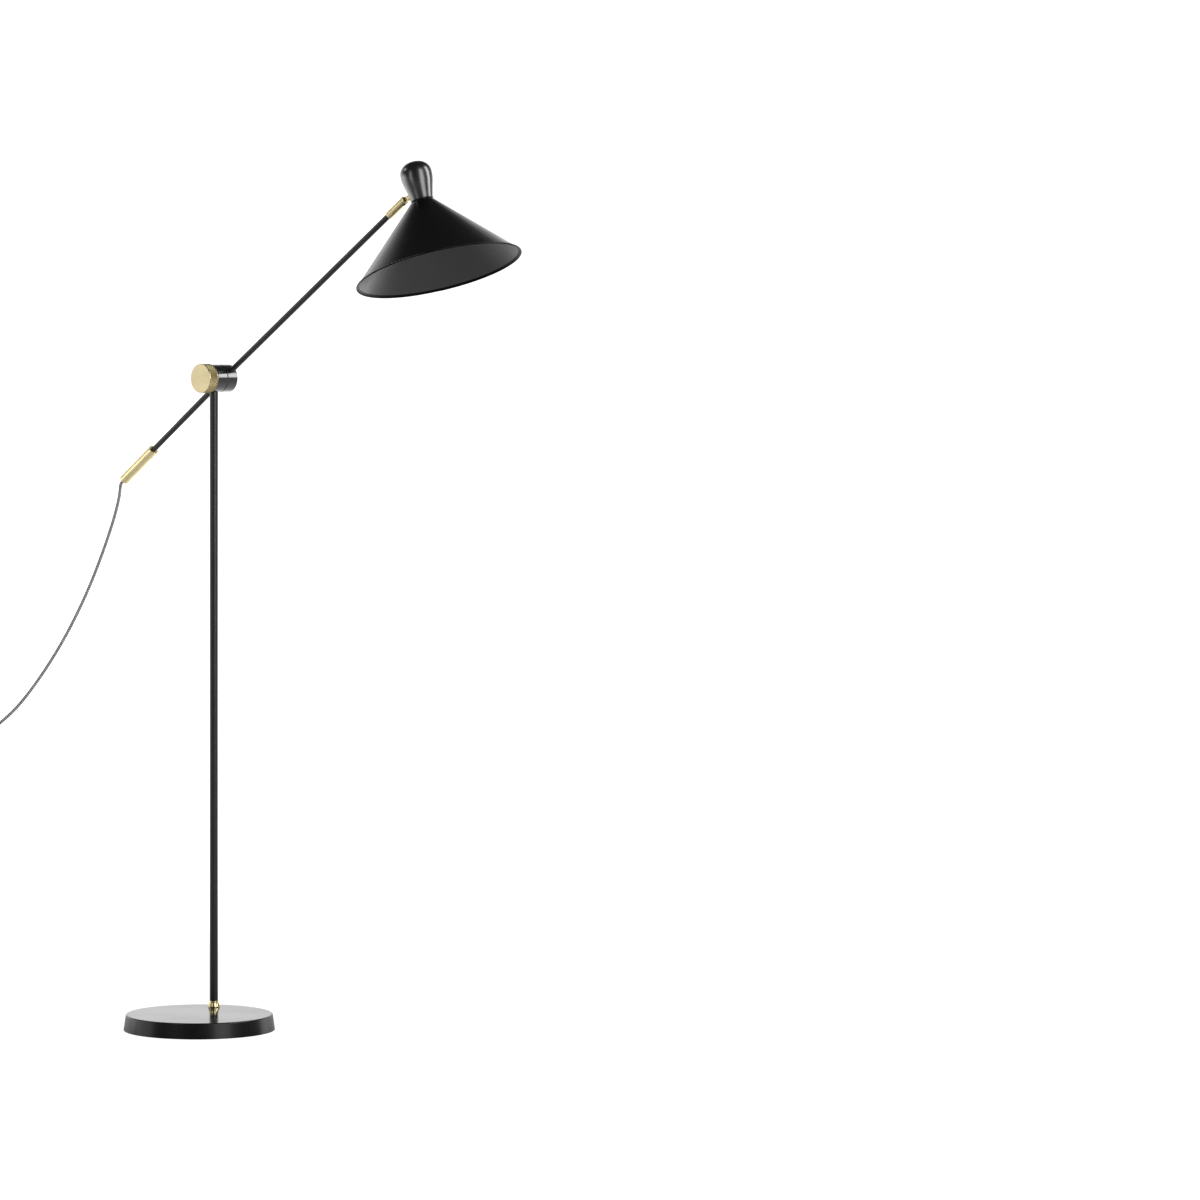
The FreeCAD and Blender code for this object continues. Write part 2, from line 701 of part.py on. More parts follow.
def knuckle():
    """Brass tab, round flange and stud that join the head to the swivel."""
    hinge_x = -STUB_REACH
    height = STUB_HEIGHT
    half = TAB_THICKNESS / 2
    disc = cylinder(TAB_RADIUS, TAB_THICKNESS, Vector(hinge_x, -half, height), ALONG_Y)
    neck = block((hinge_x, -half, height - 4.6), (hinge_x + 17, half, height + 4.6))
    flange = turned(
        [(0, 0), (FLANGE_RADIUS, 0, 0.8), (FLANGE_RADIUS, 8), (0, 8)],
        facing(Vector(hinge_x + 15.5, 0, height), ALONG_X),
    )
    flange = flange.cut(cap_outside())
    stud_end = -BRACKET_INSIDE + LOCK_NUT_THICKNESS + 0.2
    stud = cylinder(STUD_RADIUS, stud_end - hinge_x - 17, Vector(hinge_x + 17, 0, height), ALONG_X)
    pin_bore = cylinder(
        PIN_RADIUS + RUNNING_FIT, TAB_THICKNESS, Vector(hinge_x, -half, height), ALONG_Y
    )
    return placed(disc.fuse(neck).fuse(flange).fuse(stud).cut(pin_bore), HEAD)


def knuckle_nut():
    start = Vector(-BRACKET_INSIDE, 0, STUB_HEIGHT)
    nut = hexagon(11, LOCK_NUT_THICKNESS, start, ALONG_X).cut(
        cylinder(STUD_RADIUS, LOCK_NUT_THICKNESS, start, ALONG_X)
    )
    return placed(nut, HEAD)


def holder_bracket():
    """Folded steel strip: one leg under the knuckle's nut, one over the lamp holder."""
    outside = BRACKET_INSIDE + BRACKET_THICKNESS
    top = HOLDER_TOP + THIN_GAP + BRACKET_THICKNESS
    width = BRACKET_HALF_WIDTH
    leg = block((-outside, -width, 10.5), (-BRACKET_INSIDE, width, top))
    shelf = block((-outside, -width, HOLDER_TOP + THIN_GAP), (9, width, top))
    stud_hole = cylinder(STUD_RADIUS, 10, Vector(-outside - 1, 0, STUB_HEIGHT), ALONG_X)
    nipple_hole = cylinder(HOLDER_NIPPLE_RADIUS, 10, UP * (HOLDER_TOP - 5))
    return placed(leg.fuse(shelf).cut(stud_hole).cut(nipple_hole), HEAD)


def holder_nut():
    start = UP * (HOLDER_TOP + THIN_GAP + BRACKET_THICKNESS)
    return placed(hexagon(14, 3, start).cut(cylinder(HOLDER_NIPPLE_RADIUS, 3, start)), HEAD)


def neck_collar():
    """Thin lip ring between the cap and the shade, over a fine dark groove."""
    return turned(
        [
            (NECK_RADIUS - 2.5, 0),
            (NECK_RADIUS - 0.8, 0),
            (NECK_RADIUS - 0.8, 0.6),
            (NECK_RADIUS + 1.6, 0.6, 0.5),
            (NECK_RADIUS + 1.6, COLLAR_HEIGHT, 0.5),
            (NECK_RADIUS - 2.5, COLLAR_HEIGHT),
        ],
        HEAD,
    )


def shade():
    """Spun aluminium cone with a flat neck and a rolled bead round its rim."""
    run = SHADE_RADIUS - NECK_RADIUS
    wall_step = SHADE_WALL * math.hypot(run, SHADE_HEIGHT) / SHADE_HEIGHT
    bead = SHADE_BEAD
    cone = turned(
        [
            (SHADE_NECK_BORE, 0),
            (NECK_RADIUS, 0, 0.4),
            (SHADE_RADIUS - bead, bead - SHADE_HEIGHT),
            (SHADE_RADIUS - bead - wall_step, bead - SHADE_HEIGHT),
            (NECK_RADIUS - 0.5, -SHADE_WALL),
            (SHADE_NECK_BORE, -SHADE_WALL),
        ]
    )
    ring = Part.makeTorus(SHADE_RADIUS - bead, bead, Vector(0, 0, bead - SHADE_HEIGHT))
    return placed(cone.fuse(ring), HEAD)


def lamp_holder():
    """Small screw lamp holder: threaded skirt through the shade, shoulder and top nipple."""
    return turned(
        [
            (8.2, -10),
            (12.6, -10, 0.5),
            (14, -8.6),
            (14, 2.3),
            (16.0, 2.3),
            (16.0, 4.3, 0.5),
            (HOLDER_RADIUS, 4.3),
            (HOLDER_RADIUS, HOLDER_TOP, 1.5),
            (HOLDER_NIPPLE_RADIUS, HOLDER_TOP),
            (HOLDER_NIPPLE_RADIUS, HOLDER_TOP + 8, 0.4),
            (3, HOLDER_TOP + 8),
            (3, 22),
            (8.2, 22),
        ],
        HEAD,
    )


def contact_shell():
    """Threaded brass shell in the lamp holder that the bulb screws into."""
    return turned([(7.2, -6), (8.2, -6), (8.2, 20), (0, 20), (0, 19), (7.2, 19)], HEAD)


def shade_ring():
    """Ring nut under the shade's neck, with a grip of shallow flutes."""
    outer = SHADE_RING_RADIUS
    top = -SHADE_WALL - THIN_GAP
    ring = turned([(14.0, -4.6), (outer - 0.6, -4.6, 0.6), (outer, top, 0.6), (14.0, top)])
    flutes = 18
    for k in range(flutes):
        around = FreeCAD.Rotation(UP, 360 * k / flutes)
        ring = ring.cut(cylinder(1.0, 6, around.multVec(Vector(outer + 0.2, 0, -7))))
    return placed(ring, HEAD)


def bulb_base():
    """Nickel screw base of the small globe bulb."""
    return turned(
        [(0, -8), (6.9, -8), (6.9, 12, 0.8), (4, 15), (4, 18.9, 0.6), (0, 18.9)], HEAD
    )


def bulb_form(inset):
    """The bulb's rounded form, a little smaller all round by the inset."""
    waist = 13.0 - inset
    globe_radius = BULB_GLOBE_RADIUS - inset
    shoulder = BULB_GLOBE_AT + math.sqrt(globe_radius**2 - waist**2)
    top = -8.1 - inset
    neck = turned([(0, shoulder), (waist, shoulder), (BULB_NECK_RADIUS - inset, top), (0, top)])
    return Part.makeSphere(globe_radius, Vector(0, 0, BULB_GLOBE_AT)).fuse(neck)


def bulb_globe():
    """Small round bulb of thin glass. It ends well above the rim."""
    return placed(bulb_form(0).cut(bulb_form(BULB_GLASS)), HEAD)


# ---- things on the cord -------------------------------------------------------------------
def slab(flat, low, high):
    """A flat outline laid level and given its thickness, between two heights."""
    level = placed(flat, FreeCAD.Placement(UP * low, FreeCAD.Rotation(ALONG_X, -90)))
    return level.extrude(UP * (high - low))


def rounded_block(length, width, low, high, corner, edge):
    """A block along X with rounded upright corners and a softened top edge."""
    half_length = length / 2
    half_width = width / 2
    flat = outline(
        [
            (-half_length, -half_width, corner),
            (half_length, -half_width, corner),
            (half_length, half_width, corner),
            (-half_length, half_width, corner),
        ]
    )
    solid = slab(flat, low, high)
    if not edge:
        return solid
    top_edges = [e for e in solid.Edges if min(v.Z for v in e.Vertexes) > high - 0.01]
    return solid.makeFillet(edge, top_edges)


def switch_lower_case():
    outer = rounded_block(SWITCH_LENGTH, SWITCH_WIDTH, 0, SWITCH_SPLIT_Z, 6, 0)
    inner = rounded_block(
        SWITCH_LENGTH - 2 * SWITCH_WALL, SWITCH_WIDTH - 2 * SWITCH_WALL, SWITCH_WALL, SWITCH_SPLIT_Z, 4.5, 0
    )
    return placed(outer.cut(inner), SWITCH)


def switch_upper_case():
    outer = rounded_block(SWITCH_LENGTH, SWITCH_WIDTH, SWITCH_SPLIT_Z, SWITCH_TOP_Z, 6, 2.5)
    inner = rounded_block(
        SWITCH_LENGTH - 2 * SWITCH_WALL,
        SWITCH_WIDTH - 2 * SWITCH_WALL,
        SWITCH_SPLIT_Z,
        SWITCH_TOP_Z - SWITCH_WALL,
        4.5,
        1.2,
    )
    hole = cylinder(BUTTON_RADIUS + LOOSE_FIT + 0.1, SWITCH_TOP_Z)
    return placed(outer.cut(inner).cut(hole), SWITCH)


def switch_button():
    """Round foot button with a flange that keeps it under the upper case."""
    ceiling = SWITCH_TOP_Z - SWITCH_WALL
    button = turned(
        [
            (0, ceiling - BUTTON_FLANGE),
            (BUTTON_RADIUS + 1.6, ceiling - BUTTON_FLANGE),
            (BUTTON_RADIUS + 1.6, ceiling - THIN_GAP),
            (BUTTON_RADIUS, ceiling - THIN_GAP),
            (BUTTON_RADIUS, BUTTON_TOP_Z, 1.5),
            (0, BUTTON_TOP_Z),
        ]
    )
    return placed(button, SWITCH)


def button_spring():
    """Small compression spring under the foot button."""
    wire_radius = 0.4
    coil_radius = 5.0
    turns = 4
    steps = 8
    low = SWITCH_WALL + wire_radius + THIN_GAP
    high = SWITCH_TOP_Z - SWITCH_WALL - BUTTON_FLANGE - wire_radius - THIN_GAP
    points = []
    for k in range(turns * steps + 1):
        around = FreeCAD.Rotation(UP, 360 * k / steps)
        rise = (high - low) * k / (turns * steps)
        points.append(around.multVec(Vector(coil_radius, 0, low + rise)))
    return placed(round_wire(points, wire_radius), SWITCH)


def switch_reliefs():
    """Tapered cord reliefs at both ends of the foot switch."""
    reliefs = []
    for side in (-1, 1):
        start = Vector(side * SWITCH_LENGTH / 2, 0, SWITCH_CORD_Z)
        reliefs.append(
            turned(
                [(0, 0), (5.4, 0), (CORD_RADIUS + 0.9, SWITCH_BOSS, 0.5), (0, SWITCH_BOSS)],
                facing(start, ALONG_X * side),
            )
        )
    return placed(Part.makeCompound(reliefs), SWITCH)


def cord_drop():
    """The cord from the grommet down to the foot switch."""
    exit_at = LOWER_ARM.multVec(Vector(SLEEVE_END_AT + GROMMET_PROUD, 0, 0))
    straight = LOWER_ARM.multVec(Vector(SLEEVE_END_AT + GROMMET_PROUD + CORD_STRAIGHT, 0, 0))
    print("cord exit", exit_at, "then", straight)
    return cord_tube([exit_at, straight] + [Vector(*point) for point in DROP_POINTS], "cord_drop")


def cord_lead():
    """The cord from the foot switch to the coil."""
    print("switch exit", SWITCH_EXIT)
    return cord_tube([SWITCH_EXIT] + [Vector(*point) for point in LEAD_POINTS], "cord_lead")


def cord_tail():
    """The cord from the coil's top turn to the plug."""
    return cord_tube([Vector(*point) for point in TAIL_POINTS], "cord_tail")


def cord_coil():
    """Outer shape of the cord that is put away in a neat round coil."""
    return turned(
        [
            (COIL_INNER, COIL_LIFT, 4),
            (COIL_OUTER, COIL_LIFT, 4),
            (COIL_OUTER, COIL_TOP_Z, 4),
            (COIL_INNER, COIL_TOP_Z, 4),
        ],
        facing(Vector(*COIL_CENTRE, 0), UP),
    )


def coil_tie():
    """Strap wrapped round the coil's bundle of turns. The coil rests on its lower side."""
    thickness = COIL_LIFT - 0.02
    half_width = TIE_HALF_WIDTH
    inside = math.sqrt(COIL_INNER**2 - half_width**2) - THIN_GAP
    outside = COIL_OUTER + THIN_GAP
    top = COIL_TOP_Z + THIN_GAP
    outer = block((inside - thickness, -half_width, 0), (outside + thickness, half_width, top + thickness))
    inner = block((inside, -half_width, thickness), (outside, half_width, top))
    at = FreeCAD.Placement(Vector(*COIL_CENTRE, 0), FreeCAD.Rotation(UP, TIE_ANGLE))
    return placed(outer.cut(inner), at)


def plug_body():
    """Flat two-pin plug body that narrows towards the cord."""
    rear = PLUG_RELIEF_LENGTH
    front = rear + PLUG_BODY_LENGTH
    half_front = PLUG_HALF_WIDTH
    flat = outline(
        [
            (rear, -7, 3),
            (rear + 16, -half_front, 8),
            (front, -half_front, 2),
            (front, half_front, 2),
            (rear + 16, half_front, 8),
            (rear, 7, 3),
        ]
    )
    return placed(slab(flat, -PLUG_THICKNESS / 2, PLUG_THICKNESS / 2), PLUG)


def plug_relief():
    """Tapered relief behind the plug."""
    relief = turned(
        [
            (0, 0),
            (CORD_RADIUS + 0.7, 0, 0.4),
            (5.6, PLUG_RELIEF_LENGTH),
            (0, PLUG_RELIEF_LENGTH),
        ],
        facing(ORIGIN, ALONG_X),
    )
    return placed(relief, PLUG)


def plug_pins():
    """Two round pins with eased tips."""
    pins = []
    for side in (-PLUG_PIN_SPREAD, PLUG_PIN_SPREAD):
        start = Vector(PLUG_RELIEF_LENGTH + PLUG_BODY_LENGTH, side, 0)
        pin = [(0, 0), (2, 0), (2, PLUG_PIN_LENGTH, 1.2), (0, PLUG_PIN_LENGTH)]
        pins.append(turned(pin, facing(start, ALONG_X)))
    return placed(Part.makeCompound(pins), PLUG)


NODES = {
    "felt_pad": felt_pad,
    "base_cover": base_cover,
    "base_weight": base_weight,
    "base_washer": base_washer,
    "base_nut": base_nut,
    "pole_ferrule": pole_ferrule,
    "pole_foot": pole_foot,
    "lower_pole": lower_pole,
    "pole_coupler": pole_coupler,
    "upper_pole": upper_pole,
    "front_drum": front_drum,
    "pole_grub_screw": pole_grub_screw,
    "friction_disc": friction_disc,
    "knob_washer": knob_washer,
    "clamp_stud": clamp_stud,
    "clamp_knob": clamp_knob,
    "rear_hub": rear_hub,
    "upper_arm": upper_arm,
    "lower_arm": lower_arm,
    "end_sleeve": end_sleeve,
    "cord_grommet": cord_grommet,
    "arm_ring": arm_ring,
    "arm_grub_screws": arm_grub_screws,
    "swivel_nipple": swivel_nipple,
    "arm_cable": arm_cable,
    "swivel_fork": swivel_fork,
    "hinge_pin": hinge_pin,
    "knuckle": knuckle,
    "knuckle_nut": knuckle_nut,
    "holder_bracket": holder_bracket,
    "holder_nut": holder_nut,
    "finial_cap": finial_cap,
    "neck_collar": neck_collar,
    "shade": shade,
    "lamp_holder": lamp_holder,
    "contact_shell": contact_shell,
    "shade_ring": shade_ring,
    "bulb_base": bulb_base,
    "bulb_globe": bulb_globe,
    "cord_drop": cord_drop,
    "switch_lower_case": switch_lower_case,
    "switch_upper_case": switch_upper_case,
    "switch_button": switch_button,
    "button_spring": button_spring,
    "switch_reliefs": switch_reliefs,
    "cord_lead": cord_lead,
    "cord_coil": cord_coil,
    "coil_tie": coil_tie,
    "cord_tail": cord_tail,
    "plug_relief": plug_relief,
    "plug_body": plug_body,
    "plug_pins": plug_pins,
}

os.makedirs("parts", exist_ok=True)
for node, build in NODES.items():
    shape = build()
    solids = shape.Solids
    state = "" if shape.isValid() and solids else "  <-- NOT SOUND"
    print("%-18s solids %d  volume %10.1f mm3%s" % (node, len(solids), shape.Volume, state))
    shape.exportStep("parts/%s.step" % node)
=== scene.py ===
"""Looks of the adjustable arm floor lamp: materials, cords, studio and camera, in metres."""

import math

import bpy
from mathutils import Matrix, Vector


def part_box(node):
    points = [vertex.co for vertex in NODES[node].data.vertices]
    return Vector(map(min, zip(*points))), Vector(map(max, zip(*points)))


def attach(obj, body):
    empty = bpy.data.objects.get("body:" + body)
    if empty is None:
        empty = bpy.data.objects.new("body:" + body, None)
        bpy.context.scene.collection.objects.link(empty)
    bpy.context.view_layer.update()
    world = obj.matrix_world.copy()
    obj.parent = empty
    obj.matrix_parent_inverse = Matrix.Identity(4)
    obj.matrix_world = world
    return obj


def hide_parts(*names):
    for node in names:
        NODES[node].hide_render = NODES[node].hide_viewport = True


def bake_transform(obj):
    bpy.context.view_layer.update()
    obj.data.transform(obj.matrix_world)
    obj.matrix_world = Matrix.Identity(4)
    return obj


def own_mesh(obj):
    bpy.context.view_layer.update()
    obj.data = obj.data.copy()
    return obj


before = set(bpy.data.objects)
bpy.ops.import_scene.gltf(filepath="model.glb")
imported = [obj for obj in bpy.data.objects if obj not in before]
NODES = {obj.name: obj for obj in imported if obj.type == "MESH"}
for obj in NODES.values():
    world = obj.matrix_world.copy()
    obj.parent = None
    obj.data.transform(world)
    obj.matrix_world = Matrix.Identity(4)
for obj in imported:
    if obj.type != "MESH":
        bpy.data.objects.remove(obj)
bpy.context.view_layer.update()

# ---- camera, measured from the pole ---------------------------------------------------------
VIEW_AZIMUTH = 47.4
CAMERA_DISTANCE = 9.5
CAMERA_HEIGHT = 1.2765
AIM_RIGHT = 4.19
AIM_DOWN = 3.077
CAMERA_ROLL = 0.23
LENS = 158.34

# ---- arm, head and knob: tilts in degrees, lengths in metres --------------------------------
UPPER_ELEVATION = 34.2
LOWER_ELEVATION = 35.2
HEAD_TILT = 18.8
SHADE_MOUTH = Vector((0.49584, 0.1055, 1.3528))
RIM_BAND = 0.0042
KNURL_HALF_WIDTH = 0.0085
KNURL_INSIDE = 0.025

# ---- cosines of the angles that split a piece's faces between two materials ------------------
FLAT_TOP = 0.97
FACES_MOUTH = -0.05

# ---- supply cord ----------------------------------------------------------------------------
CORD_DIAMETER = 0.006
DROP_POINTS = [
    (-0.32147, 0.1055, 0.9717),
    (-0.32638, 0.1055, 0.96824),
    (-0.3295, 0.1055, 0.962),
    (-0.3293, 0.1045, 0.952),
    (-0.327, 0.098, 0.9315),
    (-0.333, 0.09, 0.8945),
    (-0.344, 0.076, 0.8415),
    (-0.358, 0.059, 0.7835),
    (-0.374, 0.038, 0.7255),
    (-0.392, 0.016, 0.6715),
    (-0.411, -0.009, 0.6215),
    (-0.431, -0.031, 0.5795),
    (-0.449, -0.053, 0.5465),
    (-0.472, -0.077, 0.5185),
    (-0.494, -0.099, 0.4805),
    (-0.509, -0.113, 0.4315),
    (-0.519, -0.119, 0.3735),
    (-0.522, -0.12, 0.3115),
    (-0.522, -0.118, 0.2475),
    (-0.518, -0.114, 0.1845),
    (-0.514, -0.111, 0.131),
    (-0.509, -0.108, 0.0889),
    (-0.504, -0.108, 0.0583),
    (-0.497, -0.111, 0.0353),
    (-0.485, -0.121, 0.016),
    (-0.468, -0.1357, 0.007),
    (-0.447, -0.155, 0.007),
]
LEAD_POINTS = [
    (-0.39253, -0.20509, 0.007),
    (-0.38149, -0.21524, 0.007),
    (-0.3705, -0.2248, 0.0054),
    (-0.361, -0.233, 0.0043),
    (-0.3544, -0.241, 0.0039),
]
TAIL_POINTS = [
    (-0.388, -0.3016, 0.01),
    (-0.4, -0.3005, 0.0122),
    (-0.412, -0.2945, 0.0156),
    (-0.419, -0.282, 0.0176),
    (-0.418, -0.269, 0.019),
    (-0.41, -0.2575, 0.02),
    (-0.398, -0.251, 0.0204),
    (-0.384, -0.251, 0.0204),
]
COIL_CENTRE = Vector((-0.388, -0.262, 0))
COIL_START_ANGLE = 47.0
COIL_STEPS_PER_TURN = 24
COIL_FIRST_STEP = 2
COIL_LAST_STEP = 128
LOW_LAYER = 0.0039
HIGH_LAYER = 0.00995
OUTER_TURN = 0.0396
MIDDLE_TURN = 0.0334
INNER_TURN = 0.0272


# ---- node helpers ---------------------------------------------------------------------------
def add_node(tree, kind, inputs=None, **settings):
    """A node with its settings and its inputs, each of which is a value or another node's output."""
    made = tree.nodes.new(kind)
    for name, value in settings.items():
        setattr(made, name, value)
    for socket, value in (inputs or {}).items():
        if isinstance(value, bpy.types.NodeSocket):
            tree.links.new(value, made.inputs[socket])
        else:
            made.inputs[socket].default_value = value
    return made


def calculate(tree, operation, first, second=0.0):
    return add_node(tree, "ShaderNodeMath", {0: first, 1: second}, operation=operation).outputs[0]


def dot_product(tree, first, second):
    inputs = {0: first, 1: second}
    return add_node(tree, "ShaderNodeVectorMath", inputs, operation="DOT_PRODUCT").outputs["Value"]


def remap(tree, value, low, high, from_low=0.0, from_high=1.0):
    """A value brought smoothly from one range to another."""
    inputs = {"Value": value, "From Min": from_low, "From Max": from_high, "To Min": low, "To Max": high}
    made = add_node(tree, "ShaderNodeMapRange", inputs, interpolation_type="SMOOTHSTEP")
    return made.outputs["Result"]


def blend_values(tree, share, first, second):
    """A share of the first value, and the rest from the second."""
    return add_node(tree, "ShaderNodeMix", {0: share, 2: second, 3: first}).outputs[0]


def blend_colours(tree, factor, first, second):
    made = add_node(tree, "ShaderNodeMix", {"Factor": factor}, data_type="RGBA")
    for socket, value in (("A", first), ("B", second)):
        target = [s for s in made.inputs if s.name == socket and s.type == "RGBA"][0]
        if isinstance(value, bpy.types.NodeSocket):
            tree.links.new(value, target)
        else:
            target.default_value = (*value, 1)
    return [s for s in made.outputs if s.type == "RGBA"][0]


def own_place(tree):
    """The point's place on its own piece, in metres, which moves with the piece."""
    return add_node(tree, "ShaderNodeTexCoord").outputs["Object"]


def noise(tree, place, scale, detail=3.0, roughness=0.5):
    inputs = {"Vector": place, "Scale": scale, "Detail": detail, "Roughness": roughness}
    return add_node(tree, "ShaderNodeTexNoise", inputs).outputs["Fac"]


def bumped(tree, shader, height, distance, strength=1.0):
    inputs = {"Height": height, "Distance": distance, "Strength": strength}
    bump = add_node(tree, "ShaderNodeBump", inputs)
    tree.links.new(bump.outputs["Normal"], shader.inputs["Normal"])


def start_material(name, **fixed):
    """A material and its main shader, with the values that are the same all over."""
    material = bpy.data.materials.new(name)
    material.use_nodes = True
    shader = material.node_tree.nodes["Principled BSDF"]
    for socket, value in fixed.items():
        shader.inputs[socket.replace("_", " ")].default_value = value
    return material, material.node_tree, shader


def feed(tree, shader, socket, value):
    tree.links.new(value, shader.inputs[socket])


# ---- materials ------------------------------------------------------------------------------
def powder_coat(name, colour, roughness, level=0.5, peel=0.00003):
    """Satin coat on metal: orange peel, faint specks and uneven gloss."""
    material, tree, shader = start_material(name, Specular_IOR_Level=level)
    place = own_place(tree)
    cloud = noise(tree, place, 9.0, 4.0)
    speck = noise(tree, place, 2600.0, 1.0)
    dark = tuple(c * 0.8 for c in colour)
    light = tuple(c * 1.25 for c in colour)
    tint = blend_values(tree, 0.6, cloud, speck)
    feed(tree, shader, "Base Color", blend_colours(tree, remap(tree, tint, 0, 1, 0.3, 0.7), dark, light))
    feed(tree, shader, "Roughness", remap(tree, cloud, roughness - 0.03, roughness + 0.04, 0.3, 0.7))
    bumped(tree, shader, noise(tree, place, 800.0, 2.0), peel)
    return material


def turned_metal(name, colour, roughness, node, direction, pitch=0.00035, depth=0.000003, **fixed):
    """Metal turned on a lathe: fine rings round the piece's own axis."""
    material, tree, shader = start_material(name, **fixed)
    low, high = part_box(node)
    centre = (low + high) / 2
    turn = Vector((0, 0, 1)).rotation_difference(Vector(direction)).to_euler()
    mapping = {"Vector": own_place(tree), "Location": centre, "Rotation": turn}
    place = add_node(tree, "ShaderNodeMapping", mapping, vector_type="TEXTURE").outputs[0]
    parts = add_node(tree, "ShaderNodeSeparateXYZ", {0: place}).outputs
    across = calculate(tree, "POWER", parts["X"], 2.0)
    across = calculate(tree, "ADD", across, calculate(tree, "POWER", parts["Y"], 2.0))
    radius = calculate(tree, "SQRT", across)
    rings = add_node(tree, "ShaderNodeCombineXYZ", {"X": radius, "Z": parts["Z"]}).outputs[0]
    line = noise(tree, rings, 1.0 / pitch, 4.0, 0.7)
    cloud = noise(tree, place, 35.0, 5.0, 0.6)
    scratch = noise(tree, place, 420.0, 2.0)
    shades = [tuple(c * k for c in colour) for k in (0.93, 1.05)]
    tone = blend_values(tree, 0.65, cloud, line)
    feed(tree, shader, "Base Color", blend_colours(tree, remap(tree, tone, 0, 1, 0.35, 0.65), *shades))
    gloss = blend_values(tree, 0.5, line, scratch)
    feed(tree, shader, "Roughness", remap(tree, gloss, roughness - 0.04, roughness + 0.05, 0.3, 0.7))
    bumped(tree, shader, line, depth)
    return material


def brass(name, colour, roughness, node, direction):
    """Turned brass that keeps its colour at the edges."""
    edge = tuple(c**0.5 for c in colour)
    return turned_metal(name, colour, roughness, node, direction, Metallic=1.0, Specular_Tint=(*edge, 1))


def lacquer(name, colour, roughness):
    """Semi-gloss lacquer: a clear smooth top over a fine, slightly uneven ground."""
    material, tree, shader = start_material(
        name, Specular_IOR_Level=0.9, Coat_Weight=0.7, Coat_Roughness=0.22
    )
    place = own_place(tree)
    cloud = noise(tree, place, 14.0, 4.0)
    feed(tree, shader, "Base Color", blend_colours(tree, cloud, colour, tuple(c * 1.5 for c in colour)))
    feed(tree, shader, "Roughness", remap(tree, cloud, roughness - 0.03, roughness + 0.04, 0.3, 0.7))
    bumped(tree, shader, noise(tree, place, 60.0, 1.0), 0.000004)
    return material


def shade_inside(axis):
    """Dark satin paint with a fine sprayed grain. Within RIM_BAND of the mouth it turns near black and less
    shiny, which draws a dark line along the rim.
    """
    material, tree, shader = start_material("shade_inside_paint")
    place = own_place(tree)
    cloud = noise(tree, place, 16.0, 4.0)
    above_mouth = calculate(tree, "SUBTRACT", dot_product(tree, place, axis), SHADE_MOUTH.dot(axis))
    # Near black and less shiny within RIM_BAND of the mouth, the grey paint above it.
    above_rim_band = calculate(tree, "GREATER_THAN", above_mouth, RIM_BAND)
    paint = blend_colours(tree, cloud, (0.015, 0.015, 0.0153), (0.023, 0.023, 0.0235))
    feed(tree, shader, "Base Color", blend_colours(tree, above_rim_band, (0.002, 0.002, 0.002), paint))
    feed(tree, shader, "Specular IOR Level", remap(tree, above_rim_band, 0.08, 0.7))
    feed(tree, shader, "Roughness", remap(tree, cloud, 0.36, 0.44, 0.3, 0.7))
    bumped(tree, shader, noise(tree, place, 1500.0, 2.0), 0.00003)
    return material


def braid():
    """Black and white twill braid. The UV map gives places in cord girths along and round it."""
    material, tree, shader = start_material("twill_braid", Roughness=0.85, Specular_IOR_Level=0.25)
    shader.inputs["Sheen Weight"].default_value = 0.25
    strands = 11.0
    place = add_node(tree, "ShaderNodeUVMap", uv_map="girths").outputs[0]
    parts = add_node(tree, "ShaderNodeSeparateXYZ", {0: place}).outputs
    along = calculate(tree, "MULTIPLY", parts["X"], strands)
    around = calculate(tree, "MULTIPLY", parts["Y"], strands)
    left = calculate(tree, "ADD", along, around)
    right = calculate(tree, "SUBTRACT", along, around)
    cell = calculate(tree, "ADD", calculate(tree, "FLOOR", left), calculate(tree, "FLOOR", right))
    quarter = calculate(tree, "FLOORED_MODULO", cell, 4.0)
    left_on_top = calculate(tree, "LESS_THAN", quarter, 1.5)
    crowns = []
    for side in (left, right):
        phase = calculate(tree, "MULTIPLY", calculate(tree, "FRACT", side), math.pi)
        crowns.append(calculate(tree, "SINE", phase))
    crown = blend_values(tree, left_on_top, *crowns)
    fibre = noise(tree, own_place(tree), 5200.0, 2.0)
    ivory = blend_colours(tree, fibre, (0.7, 0.69, 0.67), (0.88, 0.87, 0.85))
    black = blend_colours(tree, fibre, (0.03, 0.03, 0.03), (0.09, 0.09, 0.092))
    yarn = blend_colours(tree, left_on_top, black, ivory)
    # Painted shade: the yarn colour goes towards dark grey between the strands, where the crowns are low.
    yarn_with_groove_shade = blend_colours(tree, remap(tree, crown, 0, 1, 0.0, 0.45), (0.07, 0.07, 0.07), yarn)
    feed(tree, shader, "Base Color", yarn_with_groove_shade)
    height = calculate(tree, "ADD", crown, calculate(tree, "MULTIPLY", fibre, 0.3))
    bumped(tree, shader, height, 0.00022)
    return material


def moulded(name, colour, roughness, grain=3400.0, depth=0.00002, level=0.5):
    """Moulded plastic or rubber with a fine spark-eroded grain."""
    material, tree, shader = start_material(name, Specular_IOR_Level=level)
    place = own_place(tree)
    cells = add_node(tree, "ShaderNodeTexVoronoi", {"Vector": place, "Scale": grain}).outputs["Distance"]
    cloud = noise(tree, place, 60.0, 3.0)
    feed(tree, shader, "Base Color", blend_colours(tree, cloud, colour, tuple(c * 1.5 for c in colour)))
    feed(tree, shader, "Roughness", remap(tree, cloud, roughness - 0.04, roughness + 0.06, 0.3, 0.7))
    bumped(tree, shader, cells, depth)
    return material


